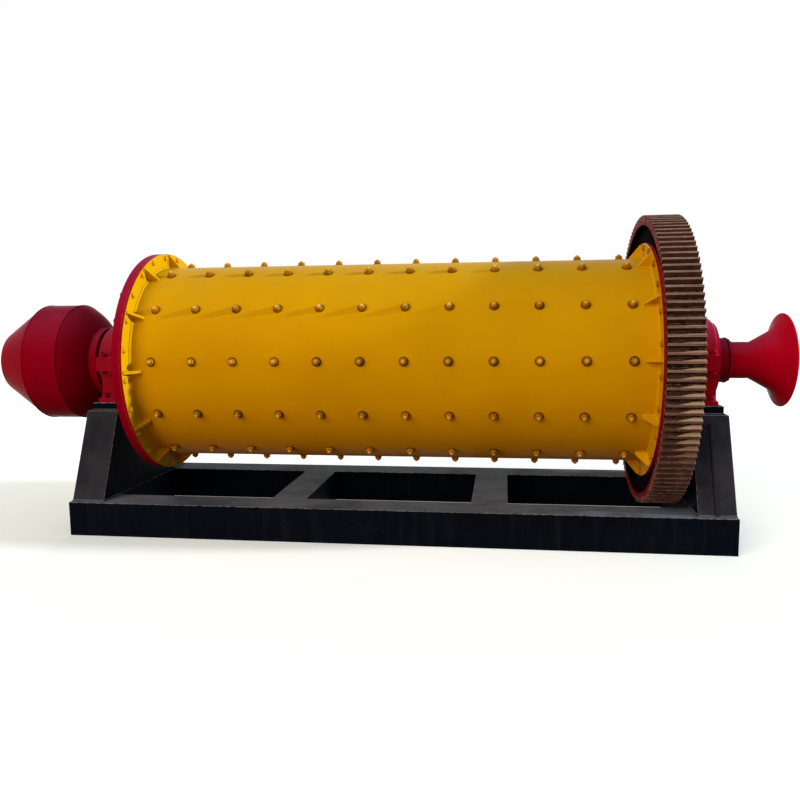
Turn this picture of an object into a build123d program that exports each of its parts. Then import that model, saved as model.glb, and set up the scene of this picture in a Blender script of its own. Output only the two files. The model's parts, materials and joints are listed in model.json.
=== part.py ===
"""Ball mill with a drum feeder, on a welded base frame.

A welded shell with bolted flanges turns on two hollow trunnions in split bearing housings.
A spur ring gear is clamped between the shell and the discharge head. Material goes in through
the feeder's mouth, through the feed trunnion, along the drum and out through the trumpet.

Frame: the origin is on the ground under the middle of the overall length, +X points to the
discharge end and +Z is up. Lengths along the drum are measured from the middle of the shell.
"""

import os
from math import acos, cos, pi, radians, sin, sqrt, tan

from build123d import *

os.makedirs("parts", exist_ok=True)

# Shell and its flanges
SHELL_BORE = 1200.0
SHELL_WALL = 14.0
SHELL_SPAN = 3050.0
FLANGE_HEIGHT = 92.0
FLANGE_THICKNESS = 16.0
GUSSET_COUNT = 12
GUSSET_LENGTH = 74.0
GUSSET_DROP = 5.0
GUSSET_TOE = 10.0
GUSSET_THICKNESS = 16.0
FEED_GUSSET_TURN = 2.0
DISCHARGE_GUSSET_TURN = -3.5

# Liner plates, one to each row of liner bolts
LINER_ROWS = 12
LINER_THICKNESS = 36.0
LINER_GAP = 5.0
LIFTER_HEIGHT = 28.0
LIFTER_WIDTH = 70.0
LINER_ROW_TURN = 3.3

# Ring gear
GEAR_MODULE = 14.0
PRESSURE_ANGLE = 20.0
GEAR_FACE_WIDTH = 190.0
GEAR_OVERLAP = 30.0
GEAR_SEAT_THICKNESS = 40.0
GEAR_SEAT_HEIGHT = 29.0
GEAR_WEB_THICKNESS = 26.0
GEAR_RIM_GAP = 106.0
GEAR_RIM_DEPTH = 24.0

# Heads and trunnions
HEAD_FLANGE_THICKNESS = 45.0
HEAD_SHOULDER = 14.0
HEAD_WALL = 46.0
HUB_RADIUS = 232.0
HUB_LENGTH = 42.0
HUB_CLEARANCE = 14.0
HUB_FILLET = 18.0
JOURNAL_RADIUS = 140.0
COLLAR_RADIUS = 134.0
TRUNNION_BORE_RADIUS = 96.0
TRUNNION_OVERHANG = 70.0
JOURNAL_CLEARANCE = 0.1
COVER_CLEARANCE = 1.0

# Bearing housings
BEARING_WIDTH = 117.0
BEARING_CENTRE_HEIGHT = 245.0
CAP_RADIUS = 250.0
LUG_HALF_WIDTH = 300.0
LUG_THICKNESS = 45.0
WAIST_HALF_WIDTH = 236.0
FOOT_HALF_WIDTH = 290.0
FOOT_THICKNESS = 26.0
HOUSING_FILLET = 22.0
CAP_EDGE = 6.0
COVER_RADIUS = 225.0
COVER_THICKNESS = 24.0

# Pedestals and sole plates
SOLE_THICKNESS = 47.0
SOLE_MARGIN_X = 24.0
SOLE_MARGIN_Y = 26.0
PEDESTAL_WIDTH = 204.0
PEDESTAL_TOP_MARGIN = 36.0
PEDESTAL_SETIN = 44.0
PEDESTAL_PLATE = 16.0

# Base frame
RAIL_WIDTH = 220.0
RAIL_HEIGHT = 205.0
RAIL_WALL = 14.0
END_PLATE = 12.0
CROSS_BEAM_WIDTH = 214.0
FEED_CROSS_BEAM = -622.0
DISCHARGE_CROSS_BEAM = 600.0
GROUND_CLEARANCE = 157.0
GEAR_SIDE_GAP = 56.0
GEAR_RAIL_GAP = 116.0

# Drum feeder
FEEDER_RADIUS = 380.0
FEEDER_LENGTH = 227.0
INLET_CONE_LENGTH = 268.0
INLET_RADIUS = 204.0
OUTLET_CONE_LENGTH = 143.0
OUTLET_BULGE = 18.0
FEEDER_HUB_RADIUS = 228.0
FEEDER_HUB_LENGTH = 46.0
FEEDER_PLATE = 10.0

# Discharge trumpet
SEAL_RADIUS = 137.0
SEAL_THICKNESS = 9.0
TRUMPET_FLANGE_RADIUS = 130.0
TRUMPET_FLANGE_THICKNESS = 14.0
TRUMPET_RADIUS = 110.0
TRUMPET_WALL = 10.0
TRUMPET_THROAT = 134.0
TRUMPET_CONE_LENGTH = 178.0
TRUMPET_CONE_RADIUS = 190.0
TRUMPET_LIP_LENGTH = 16.0
TRUMPET_MOUTH_RADIUS = 276.0
TRUMPET_FILLET = 10.0

# Radii and places that follow from these
shell_radius = SHELL_BORE / 2
shell_outer = shell_radius + SHELL_WALL
flange_radius = shell_outer + FLANGE_HEIGHT
shell_end = SHELL_SPAN / 2

rim_bore = flange_radius + GEAR_RIM_GAP
gear_teeth = 2 * round((rim_bore + GEAR_RIM_DEPTH) / GEAR_MODULE + 1.25)
pitch_radius = GEAR_MODULE * gear_teeth / 2
tip_radius = pitch_radius + GEAR_MODULE
root_radius = pitch_radius - 1.25 * GEAR_MODULE
base_radius = pitch_radius * cos(radians(PRESSURE_ANGLE))
gear_start = shell_end - GEAR_OVERLAP
gear_end = gear_start + GEAR_FACE_WIDTH

pedestal_inner = gear_end + GEAR_SIDE_GAP
bearing_x = pedestal_inner + PEDESTAL_WIDTH / 2
frame_end = pedestal_inner + PEDESTAL_WIDTH
cover_face = BEARING_WIDTH / 2 + COVER_THICKNESS
hub_face = bearing_x - cover_face - HUB_CLEARANCE
trunnion_end = bearing_x + cover_face + TRUNNION_OVERHANG

axis_height = tip_radius + GROUND_CLEARANCE
gear_half_chord = sqrt(tip_radius**2 - (axis_height - RAIL_HEIGHT) ** 2)
rail_inner = gear_half_chord + GEAR_RAIL_GAP
rail_outer = rail_inner + RAIL_WIDTH
rail_middle = rail_inner + RAIL_WIDTH / 2
sole_half_width = FOOT_HALF_WIDTH + SOLE_MARGIN_Y
sole_half_length = BEARING_WIDTH / 2 + SOLE_MARGIN_X
pedestal_top = axis_height - BEARING_CENTRE_HEIGHT - SOLE_THICKNESS

feeder_start = trunnion_end + OUTLET_CONE_LENGTH
feeder_end = feeder_start + FEEDER_LENGTH
feed_reach = feeder_end + INLET_CONE_LENGTH
trumpet_start = trunnion_end + SEAL_THICKNESS
throat_end = trumpet_start + TRUMPET_THROAT
cone_end = throat_end + TRUMPET_CONE_LENGTH
discharge_reach = cone_end + TRUMPET_LIP_LENGTH
mill_x = (feed_reach - discharge_reach) / 2

FEED, DISCHARGE = -1, 1
ENDS = {"feed": FEED, "discharge": DISCHARGE}
DRUM_AXIS = Axis((mill_x, 0, axis_height), (1, 0, 0))
# Half section through the drum's axis: local x runs along the axis, local y is the radius
HALF_SECTION = Plane(origin=(mill_x, 0, axis_height), x_dir=(1, 0, 0), z_dir=(0, -1, 0))


def across(x):
    """The plane square to the drum's axis at x: local x is +Y and local y is +Z."""
    return Plane(origin=(mill_x + x, 0, axis_height), x_dir=(0, 1, 0), z_dir=(1, 0, 0))


def level(x, z):
    """The level plane at height z above the ground, centred on x along the drum."""
    return Plane(origin=(mill_x + x, 0, z))


def beam_end(x, y):
    """The plane square to the drum's axis at x, centred on a rail at y: local x is +Y and local y is +Z."""
    return Plane(origin=(mill_x + x, y, RAIL_HEIGHT / 2), x_dir=(0, 1, 0), z_dir=(1, 0, 0))


def finish(builder, name):
    """Labels a finished piece and writes it to its own file."""
    builder.part.label = name
    export_step(builder.part, f"parts/{name}.step")


def polar(radius, angle):
    """The point at this radius and angle in radians, from the +Y side upwards."""
    return (radius * cos(angle), radius * sin(angle))


# Shell: a rolled plate tube that runs through both flanges
with BuildPart() as shell:
    with BuildSketch(across(-shell_end)):
        Circle(shell_outer)
        Circle(shell_radius, mode=Mode.SUBTRACT)
    extrude(amount=SHELL_SPAN)
finish(shell, "shell")

# Shell flanges, welded round the tube's ends
for end, side in ENDS.items():
    flange_start = shell_end - FLANGE_THICKNESS if side == DISCHARGE else -shell_end
    with BuildPart() as shell_flange:
        with BuildSketch(across(flange_start)):
            Circle(flange_radius)
            Circle(shell_outer, mode=Mode.SUBTRACT)
        extrude(amount=FLANGE_THICKNESS)
    finish(shell_flange, f"{end}_shell_flange")

# Gussets: small triangular plates between each flange and the shell
GUSSET_TURNS = {"feed": FEED_GUSSET_TURN, "discharge": DISCHARGE_GUSSET_TURN}
for end, side in ENDS.items():
    flange_face = side * (shell_end - FLANGE_THICKNESS)
    gusset_tip = flange_face - side * GUSSET_LENGTH
    gusset_top = flange_radius - GUSSET_DROP
    with BuildPart() as gusset:
        with BuildSketch(HALF_SECTION):
            with BuildLine():
                Polyline(
                    (flange_face, shell_outer),
                    (flange_face, gusset_top),
                    (flange_face - side * GUSSET_TOE, gusset_top),
                    (gusset_tip, shell_outer + GUSSET_TOE),
                    (gusset_tip, shell_outer),
                    close=True,
                )
            make_face()
        extrude(amount=GUSSET_THICKNESS / 2, both=True)
    with BuildPart() as gussets:
        for number in range(GUSSET_COUNT):
            turn = GUSSET_TURNS[end] + number * 360 / GUSSET_COUNT
            add(gusset.part.rotate(DRUM_AXIS, turn))
    finish(gussets, f"{end}_flange_gussets")

# Liner plates: each spans one bolt row, with a lifter bar along its middle
liner_half_angle = pi / LINER_ROWS - LINER_GAP / 2 / shell_radius
liner_inner = shell_radius - LINER_THICKNESS
lifter_foot = LIFTER_WIDTH / 2 / liner_inner
lifter_top = liner_inner - LIFTER_HEIGHT
lifter_half_top = lifter_foot / 2
with BuildPart() as shell_liner:
    with BuildSketch() as liner_plate:
        with BuildLine():
            ThreePointArc(
                polar(shell_radius, -liner_half_angle),
                polar(shell_radius, 0),
                polar(shell_radius, liner_half_angle),
            )
            Line(polar(shell_radius, liner_half_angle), polar(liner_inner, liner_half_angle))
            ThreePointArc(
                polar(liner_inner, liner_half_angle),
                polar(liner_inner, (liner_half_angle + lifter_foot) / 2),
                polar(liner_inner, lifter_foot),
            )
            Polyline(
                polar(liner_inner, lifter_foot),
                polar(lifter_top, lifter_half_top),
                polar(lifter_top, -lifter_half_top),
                polar(liner_inner, -lifter_foot),
            )
            ThreePointArc(
                polar(liner_inner, -lifter_foot),
                polar(liner_inner, -(liner_half_angle + lifter_foot) / 2),
                polar(liner_inner, -liner_half_angle),
            )
            Line(polar(liner_inner, -liner_half_angle), polar(shell_radius, -liner_half_angle))
        make_face()
    with BuildSketch(across(-shell_end)) as liner_ring:
        with PolarLocations(0, LINER_ROWS, start_angle=-LINER_ROW_TURN):
            add(liner_plate.sketch)
    extrude(liner_ring.sketch, amount=SHELL_SPAN)
finish(shell_liner, "shell_liner")

# Ring gear: involute spur teeth on a thin rim, with a web and a thicker seat for the flange bolts


def involute(angle):
    """The involute function of a pressure angle in radians."""
    return tan(angle) - angle


def half_tooth(radius):
    """Half the angle that a tooth takes at this radius, on its involute flanks."""
    flank = involute(radians(PRESSURE_ANGLE)) - involute(acos(base_radius / radius))
    return pi / 2 / gear_teeth + flank


tooth_pitch = 2 * pi / gear_teeth
seat_radius = flange_radius + GEAR_SEAT_HEIGHT
seat_end = shell_end + GEAR_SEAT_THICKNESS
web_start = shell_end + (GEAR_SEAT_THICKNESS - GEAR_WEB_THICKNESS) / 2
web_end = web_start + GEAR_WEB_THICKNESS
rim_middle = (rim_bore + root_radius) / 2
with BuildPart() as ring_gear:
    with BuildSketch(across(gear_start)):
        with BuildLine():
            for number in range(gear_teeth):
                middle = number * tooth_pitch
                rising = [polar(r, middle - half_tooth(r)) for r in (root_radius, pitch_radius, tip_radius)]
                falling = [polar(r, middle + half_tooth(r)) for r in (tip_radius, pitch_radius, root_radius)]
                next_root = polar(root_radius, middle + tooth_pitch - half_tooth(root_radius))
                ThreePointArc(*rising)
                Line(rising[-1], falling[0])
                ThreePointArc(*falling)
                Line(falling[-1], next_root)
        make_face()
        Circle(rim_bore, mode=Mode.SUBTRACT)
    extrude(amount=GEAR_FACE_WIDTH)
    with BuildSketch(HALF_SECTION):
        with BuildLine():
            Polyline(
                (shell_end, shell_radius),
                (shell_end, seat_radius),
                (web_start, seat_radius),
                (web_start, rim_middle),
                (web_end, rim_middle),
                (web_end, seat_radius),
                (seat_end, seat_radius),
                (seat_end, shell_radius),
                close=True,
            )
        make_face()
    revolve(axis=DRUM_AXIS)
finish(ring_gear, "ring_gear")

# Heads: a bolted flange, a dished wall and the hollow trunnion, cast in one piece
HEAD_SEATS = {"feed": shell_end, "discharge": seat_end}
for end, side in ENDS.items():
    seat = HEAD_SEATS[end]
    flange_back = seat + HEAD_FLANGE_THICKNESS
    hub_start = hub_face - HUB_LENGTH
    shoulder = shell_radius - HEAD_SHOULDER
    dish_inner = shell_radius - HEAD_WALL
    throat_start = hub_start - HEAD_WALL / 2
    profile = [
        (seat, flange_radius),
        (flange_back, flange_radius),
        (flange_back, shoulder),
        (hub_start, HUB_RADIUS),
        (hub_face, HUB_RADIUS),
        (hub_face, JOURNAL_RADIUS),
        (bearing_x + cover_face, JOURNAL_RADIUS),
        (bearing_x + cover_face, COLLAR_RADIUS),
        (trunnion_end, COLLAR_RADIUS),
        (trunnion_end, TRUNNION_BORE_RADIUS),
        (throat_start + HUB_FILLET, TRUNNION_BORE_RADIUS),
        (throat_start, TRUNNION_BORE_RADIUS + HUB_FILLET),
        (throat_start - HUB_FILLET, HUB_RADIUS - HUB_FILLET),
        (seat, dish_inner),
    ]
    with BuildPart() as head:
        with BuildSketch(HALF_SECTION):
            with BuildLine():
                Polyline(*[(side * x, r) for x, r in profile], close=True)
            make_face()
        revolve(axis=DRUM_AXIS)
        hub_edges = [e for e in head.edges().filter_by(GeomType.CIRCLE) if abs(e.radius - HUB_RADIUS) < 1]
        fillet(hub_edges, HUB_FILLET)
    finish(head, f"{end}_head")

# Bearings: a base with lugs, waist and foot, a half-round cap, and a cover ring on each face
for end, side in ENDS.items():
    housing_start = side * bearing_x - BEARING_WIDTH / 2
    journal_bore = JOURNAL_RADIUS + JOURNAL_CLEARANCE
    foot_top = FOOT_THICKNESS - BEARING_CENTRE_HEIGHT
    with BuildPart() as bearing_base:
        with BuildSketch(across(housing_start)) as base_section:
            with BuildLine():
                Polyline(
                    (0, 0),
                    (LUG_HALF_WIDTH, 0),
                    (LUG_HALF_WIDTH, -LUG_THICKNESS),
                    (WAIST_HALF_WIDTH, -LUG_THICKNESS),
                    (WAIST_HALF_WIDTH, foot_top),
                    (FOOT_HALF_WIDTH, foot_top),
                    (FOOT_HALF_WIDTH, -BEARING_CENTRE_HEIGHT),
                    (0, -BEARING_CENTRE_HEIGHT),
                )
                mirror(about=Plane.YZ)
            make_face()
            Circle(journal_bore, mode=Mode.SUBTRACT)
            waist_corners = [v for v in base_section.vertices() if abs(abs(v.X) - WAIST_HALF_WIDTH) < 1]
            fillet(waist_corners, HOUSING_FILLET)
        extrude(amount=BEARING_WIDTH)
    finish(bearing_base, f"{end}_bearing_base")

    with BuildPart() as bearing_cap:
        with BuildSketch(across(housing_start)):
            Circle(CAP_RADIUS)
            with Locations((0, -CAP_RADIUS / 2)):
                Rectangle(2 * CAP_RADIUS, CAP_RADIUS, mode=Mode.SUBTRACT)
            with Locations((0, LUG_THICKNESS / 2)):
                Rectangle(2 * LUG_HALF_WIDTH, LUG_THICKNESS)
            Circle(journal_bore, mode=Mode.SUBTRACT)
        extrude(amount=BEARING_WIDTH)
        rim_edges = [e for e in bearing_cap.edges().filter_by(GeomType.CIRCLE) if abs(e.radius - CAP_RADIUS) < 1]
        chamfer(rim_edges, CAP_EDGE)
    finish(bearing_cap, f"{end}_bearing_cap")

    inner_face = bearing_x - cover_face
    outer_face = bearing_x + BEARING_WIDTH / 2
    for face, start in {"inner": inner_face, "outer": outer_face}.items():
        cover_x = start if side == DISCHARGE else -start - COVER_THICKNESS
        with BuildPart() as bearing_cover:
            with BuildSketch(across(cover_x)):
                Circle(COVER_RADIUS)
                Circle(JOURNAL_RADIUS + COVER_CLEARANCE, mode=Mode.SUBTRACT)
            extrude(amount=COVER_THICKNESS)
        finish(bearing_cover, f"{end}_bearing_{face}_cover")

# Sole plates and pedestals: each pedestal is a welded box that narrows towards the bearing
for end, side in ENDS.items():
    with BuildPart() as sole_plate:
        with BuildSketch(level(side * bearing_x, pedestal_top)):
            Rectangle(2 * sole_half_length, 2 * sole_half_width)
        extrude(amount=SOLE_THICKNESS)
    finish(sole_plate, f"{end}_sole_plate")

    with BuildPart() as pedestal:
        with BuildSketch(level(side * bearing_x, RAIL_HEIGHT)):
            Rectangle(PEDESTAL_WIDTH, 2 * (rail_outer - PEDESTAL_SETIN))
        with BuildSketch(level(side * bearing_x, pedestal_top)):
            Rectangle(PEDESTAL_WIDTH, 2 * (sole_half_width + PEDESTAL_TOP_MARGIN))
        loft()
        underside = pedestal.faces().sort_by(Axis.Z)[0]
        offset(amount=-PEDESTAL_PLATE, openings=underside)
    finish(pedestal, f"{end}_pedestal")

# Base frame: two long box beams, closed at their ends, with end beams and cross beams between them
RAILS = {"front": -rail_middle, "rear": rail_middle}
for name, y in RAILS.items():
    with BuildPart() as rail:
        with BuildSketch(beam_end(END_PLATE - frame_end, y)):
            Rectangle(RAIL_WIDTH, RAIL_HEIGHT)
            Rectangle(RAIL_WIDTH - 2 * RAIL_WALL, RAIL_HEIGHT - 2 * RAIL_WALL, mode=Mode.SUBTRACT)
        extrude(amount=2 * (frame_end - END_PLATE))
    finish(rail, f"{name}_rail")

with BuildPart() as rail_end_plates:
    for x in (-frame_end, frame_end - END_PLATE):
        for y in RAILS.values():
            with BuildSketch(beam_end(x, y)):
                Rectangle(RAIL_WIDTH, RAIL_HEIGHT)
    extrude(amount=END_PLATE)
finish(rail_end_plates, "rail_end_plates")

BEAMS = {
    "feed_end_beam": (-bearing_x, PEDESTAL_WIDTH),
    "feed_cross_beam": (FEED_CROSS_BEAM, CROSS_BEAM_WIDTH),
    "discharge_cross_beam": (DISCHARGE_CROSS_BEAM, CROSS_BEAM_WIDTH),
    "discharge_end_beam": (bearing_x, PEDESTAL_WIDTH),
}
for name, (x, width) in BEAMS.items():
    with BuildPart() as beam:
        with BuildSketch(Plane(origin=(mill_x + x, -rail_inner, RAIL_HEIGHT / 2), x_dir=(1, 0, 0), z_dir=(0, 1, 0))):
            Rectangle(width, RAIL_HEIGHT)
            Rectangle(width - 2 * RAIL_WALL, RAIL_HEIGHT - 2 * RAIL_WALL, mode=Mode.SUBTRACT)
        extrude(amount=2 * rail_inner)
    finish(beam, name)

# Drum feeder: a hub on the trunnion's end, a bulged outlet cone, a short drum and the inlet cone
with BuildPart() as feeder_hub:
    with BuildSketch(across(-trunnion_end)):
        Circle(FEEDER_HUB_RADIUS)
        Circle(COLLAR_RADIUS, mode=Mode.SUBTRACT)
    extrude(amount=FEEDER_HUB_LENGTH)
finish(feeder_hub, "feeder_hub")

with BuildPart() as feeder_outlet_cone:
    with BuildSketch(HALF_SECTION):
        with BuildLine():
            SagittaArc((-trunnion_end, FEEDER_HUB_RADIUS), (-feeder_start, FEEDER_RADIUS), -OUTLET_BULGE)
            Line((-feeder_start, FEEDER_RADIUS), (-feeder_start, FEEDER_RADIUS - FEEDER_PLATE))
            SagittaArc(
                (-feeder_start, FEEDER_RADIUS - FEEDER_PLATE),
                (-trunnion_end, FEEDER_HUB_RADIUS - FEEDER_PLATE),
                OUTLET_BULGE,
            )
            Line((-trunnion_end, FEEDER_HUB_RADIUS - FEEDER_PLATE), (-trunnion_end, FEEDER_HUB_RADIUS))
        make_face()
    revolve(axis=DRUM_AXIS)
finish(feeder_outlet_cone, "feeder_outlet_cone")

with BuildPart() as feeder_drum:
    with BuildSketch(across(-feeder_end)):
        Circle(FEEDER_RADIUS)
        Circle(FEEDER_RADIUS - FEEDER_PLATE, mode=Mode.SUBTRACT)
    extrude(amount=FEEDER_LENGTH)
finish(feeder_drum, "feeder_drum")

with BuildPart() as feeder_inlet_cone:
    with BuildSketch(HALF_SECTION):
        with BuildLine():
            Polyline(
                (-feeder_end, FEEDER_RADIUS),
                (-feed_reach, INLET_RADIUS),
                (-feed_reach, INLET_RADIUS - FEEDER_PLATE),
                (-feeder_end, FEEDER_RADIUS - FEEDER_PLATE),
                close=True,
            )
        make_face()
    revolve(axis=DRUM_AXIS)
finish(feeder_inlet_cone, "feeder_inlet_cone")

# Discharge: a seal ring on the trunnion's end, then the trumpet with its flange and flared mouth
with BuildPart() as discharge_seal_ring:
    with BuildSketch(across(trunnion_end)):
        Circle(SEAL_RADIUS)
        Circle(TRUNNION_BORE_RADIUS, mode=Mode.SUBTRACT)
    extrude(amount=SEAL_THICKNESS)
finish(discharge_seal_ring, "discharge_seal_ring")

flange_end = trumpet_start + TRUMPET_FLANGE_THICKNESS
bore = TRUMPET_RADIUS - TRUMPET_WALL
lip_inner = discharge_reach - TRUMPET_WALL
with BuildPart() as discharge_trumpet:
    with BuildSketch(HALF_SECTION) as trumpet_section:
        with BuildLine():
            Polyline(
                (trumpet_start, TRUMPET_FLANGE_RADIUS),
                (flange_end, TRUMPET_FLANGE_RADIUS),
                (flange_end, TRUMPET_RADIUS),
                (throat_end, TRUMPET_RADIUS),
                (cone_end, TRUMPET_CONE_RADIUS),
                (lip_inner, TRUMPET_MOUTH_RADIUS),
                (discharge_reach, TRUMPET_MOUTH_RADIUS),
                (cone_end + TRUMPET_WALL, TRUMPET_CONE_RADIUS - TRUMPET_WALL / 2),
                (throat_end, bore),
                (trumpet_start, bore),
                close=True,
            )
        make_face()
        bends = [v for v in trumpet_section.vertices() if abs(v.Y - TRUMPET_CONE_RADIUS) < TRUMPET_WALL]
        fillet(bends, TRUMPET_FILLET)
    revolve(axis=DRUM_AXIS)
finish(discharge_trumpet, "discharge_trumpet")
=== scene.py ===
"""Looks of the ball mill: paints, bolts, nuts, weld beads and the stage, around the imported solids.

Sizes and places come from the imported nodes' boxes, so each piece sits on what carries it. Angles round
the drum are measured above the level on the front side. Lengths are in metres.
"""

import json
from math import pi, radians

import bpy
import numpy as np
from bpy.props import FloatProperty, FloatVectorProperty, IntProperty, PointerProperty
from mathutils import Matrix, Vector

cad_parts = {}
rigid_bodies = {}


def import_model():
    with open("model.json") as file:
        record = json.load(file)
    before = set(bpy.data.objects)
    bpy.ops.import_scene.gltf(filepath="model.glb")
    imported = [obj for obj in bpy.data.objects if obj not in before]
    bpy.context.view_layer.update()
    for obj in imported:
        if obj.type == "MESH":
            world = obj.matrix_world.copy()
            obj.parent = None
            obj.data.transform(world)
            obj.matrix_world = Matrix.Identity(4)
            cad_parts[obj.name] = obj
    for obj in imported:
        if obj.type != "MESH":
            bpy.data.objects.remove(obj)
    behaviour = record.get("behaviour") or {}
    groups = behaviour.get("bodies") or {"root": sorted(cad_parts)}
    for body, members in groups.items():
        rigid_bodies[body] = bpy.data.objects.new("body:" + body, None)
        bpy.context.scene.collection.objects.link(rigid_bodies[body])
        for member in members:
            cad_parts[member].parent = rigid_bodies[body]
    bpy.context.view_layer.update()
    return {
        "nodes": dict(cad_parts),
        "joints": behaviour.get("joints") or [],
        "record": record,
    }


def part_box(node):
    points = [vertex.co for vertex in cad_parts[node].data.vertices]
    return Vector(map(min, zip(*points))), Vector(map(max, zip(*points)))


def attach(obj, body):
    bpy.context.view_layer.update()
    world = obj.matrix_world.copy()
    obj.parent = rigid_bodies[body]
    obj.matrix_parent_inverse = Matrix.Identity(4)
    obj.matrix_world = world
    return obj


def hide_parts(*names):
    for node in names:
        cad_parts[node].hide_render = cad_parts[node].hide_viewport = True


for start_object in list(bpy.data.objects):
    bpy.data.objects.remove(start_object)
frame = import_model()

bl_info = {
    "name": "Ball mill looks",
    "version": (1, 0, 0),
    "blender": (4, 5, 0),
    "location": "View3D > Sidebar > Ball Mill",
    "description": "Paints, bolts and weld beads of a ball mill, on its packed solids",
    "category": "Object",
}


def node_box(node):
    """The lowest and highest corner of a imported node, as two arrays."""
    low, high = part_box(node)
    return np.array(low), np.array(high)


def radius_of(node):
    """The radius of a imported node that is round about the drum's axis."""
    low, high = node_box(node)
    return float(high[2] - low[2]) / 2


def face_x(node, way):
    """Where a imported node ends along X: on its +X side for a positive way, else on its -X side."""
    low, high = node_box(node)
    return float(high[0] if way > 0 else low[0])


ENDS = {"feed": -1.0, "discharge": 1.0}
FLANKS = (-1.0, 1.0)
AXIS = np.array(frame["joints"][0]["pos_m"], float)
ALONG = np.array([1.0, 0.0, 0.0])
BACK = np.array([0.0, 1.0, 0.0])
UP = np.array([0.0, 0.0, 1.0])
SHELL_RADIUS = radius_of("shell")
FLANGE_RADIUS = radius_of("feed_shell_flange")
GEAR_RADIUS = radius_of("ring_gear")

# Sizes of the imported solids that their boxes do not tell
TOOTH_DEPTH = 0.0315
GEAR_RIM = 0.055
GUSSET_MARGIN = 0.012
GUSSET_HALF = 0.008
POST_MARGIN = 0.036

# Fineness of the shapes
SHARP_ANGLE = radians(38)
RIPPLE_SAMPLES = 4
BEND_SAMPLES = 22
LATHE_SIDES = 144


# Sizes and colours


def maker(kind, **fixed):
    """A short way to write properties of one kind, by a description and a default."""
    def make(description, default):
        return kind, dict(fixed, description=description, default=default)
    return make


def labelled(group):
    """Makes a group's properties, each named after its attribute."""
    for key, (kind, values) in group.__annotations__.items():
        group.__annotations__[key] = kind(name=key.replace("_", " ").capitalize(), **values)
    return group


number = maker(IntProperty, min=1)
level = maker(FloatProperty, min=0.0)
length = maker(FloatProperty, min=0.0, subtype="DISTANCE", unit="LENGTH", precision=4)
turn = maker(FloatProperty, subtype="ANGLE", unit="ROTATION")
share = maker(FloatProperty, min=0.0, max=1.0, subtype="FACTOR")
colour = maker(FloatVectorProperty, size=3, min=0.0, max=1.0, subtype="COLOR")
position = maker(FloatVectorProperty, subtype="XYZ", unit="LENGTH")


@labelled
class MillBolts(bpy.types.PropertyGroup):
    """Bolts, nuts and washers of the drum and of the bearings."""

    liner_columns: number("Liner bolts along the shell", 12)
    liner_rows: number("Rows of liner bolts round the shell", 12)
    liner_pitch: length("Between liner bolts along the shell", 0.250)
    liner_turn: turn("Angle of the first row of liner bolts", radians(3.3))
    liner_washer: length("Diameter of a liner bolt's washer", 0.056)
    liner_washer_height: length("Thickness of that washer", 0.006)
    liner_nut: length("Size across flats of a liner bolt's nut", 0.037)
    liner_nut_height: length("Height of that nut", 0.018)
    liner_stud: length("Diameter of a liner bolt's end", 0.022)
    liner_stud_height: length("How far that end stands out of its nut", 0.009)
    flange_count: number("Bolts round each flange", 24)
    flange_circle: length("Radius of the circle of flange bolts", 0.680)
    flange_head: length("Size across flats of a flange bolt", 0.030)
    feed_turn: turn("Angle of the feed flange's first bolt", radians(9.0))
    discharge_turn: turn("Angle of the discharge flange's first bolt", radians(11.0))
    head_flange: length("Thickness of the drum head's flange", 0.045)
    gear_seat: length("Thickness of the ring gear's seat behind the flange", 0.040)
    cap_nut: length("Size across flats of a bearing cap's nut", 0.034)
    cap_spread: length("From a bearing's middle to its bolts, along the drum", 0.030)
    lug_height: length("From the drum's axis to the faces of the lugs", 0.045)
    lug_margin: length("From a bearing's side to its lug bolts", 0.027)
    foot_height: length("Thickness of a bearing's foot", 0.026)
    foot_margin: length("From a bearing's side to its foot bolts", 0.037)
    cover_count: number("Bolts in each bearing cover", 8)
    cover_turn: turn("Angle of a cover's first bolt", radians(18.5))
    cover_head: length("Size across flats of a cover bolt", 0.019)
    cover_margin: length("From a cover's edge to its bolt circle", 0.024)
    trumpet_count: number("Bolts in the trumpet's flange", 8)
    trumpet_turn: turn("Angle of the trumpet's first bolt", radians(20.0))
    trumpet_circle: length("Radius of the circle of trumpet bolts", 0.1203)
    trumpet_head: length("Size across flats of a trumpet bolt", 0.013)


@labelled
class MillWelds(bpy.types.PropertyGroup):
    """Weld beads of the drum, the feeder and the frame."""

    flange_leg: length("Leg of the bead between flange and shell", 0.010)
    gusset_leg: length("Leg of the beads along a gusset", 0.006)
    gusset_count: number("Gussets behind each flange", 12)
    feed_gussets: turn("Angle of the feed end's first gusset", radians(-2.0))
    discharge_gussets: turn("Angle of the discharge end's first gusset", radians(3.5))
    seam: length("Radius of the round bead on a feeder seam", 0.0042)
    seam_sink: length("How far that bead's middle lies under the plate's face", 0.0018)
    post_seam: length("Height of the flat seam up the discharge pedestal", 0.007)
    post_seam_spread: level("Half that seam's width over its height", 2.2)
    post_seam_top: length("From the pedestal's top down to that seam", 0.050)
    frame_leg: length("Leg of the beads on the base frame", 0.008)
    frame_inset: length("From a beam's top and bottom to the ends of its beads", 0.004)
    ripple: length("Between two ripples of a bead", 0.011)


@labelled
class MillTrumpet(bpy.types.PropertyGroup):
    """The discharge trumpet, from its flange to the rolled rim of its mouth."""

    flange_radius: length("Radius of the flange", 0.130)
    flange: length("Thickness of the flange", 0.014)
    throat_radius: length("Outer radius of the throat", 0.110)
    throat: length("From the flange's rear face to the cone", 0.139)
    neck: length("Length of the small bend on each side of that corner", 0.004)
    wall: length("Thickness of the plate", 0.010)
    flare: length("From the corner between cone and brim to the mouth", 0.045)
    flare_radius: length("Radius of that corner", 0.193)
    flare_start: length("From that corner back to where the cone starts to bend", 0.040)
    mouth_radius: length("Outer radius of the mouth", 0.280)
    rim: length("Thickness of the rolled rim", 0.014)


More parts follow.
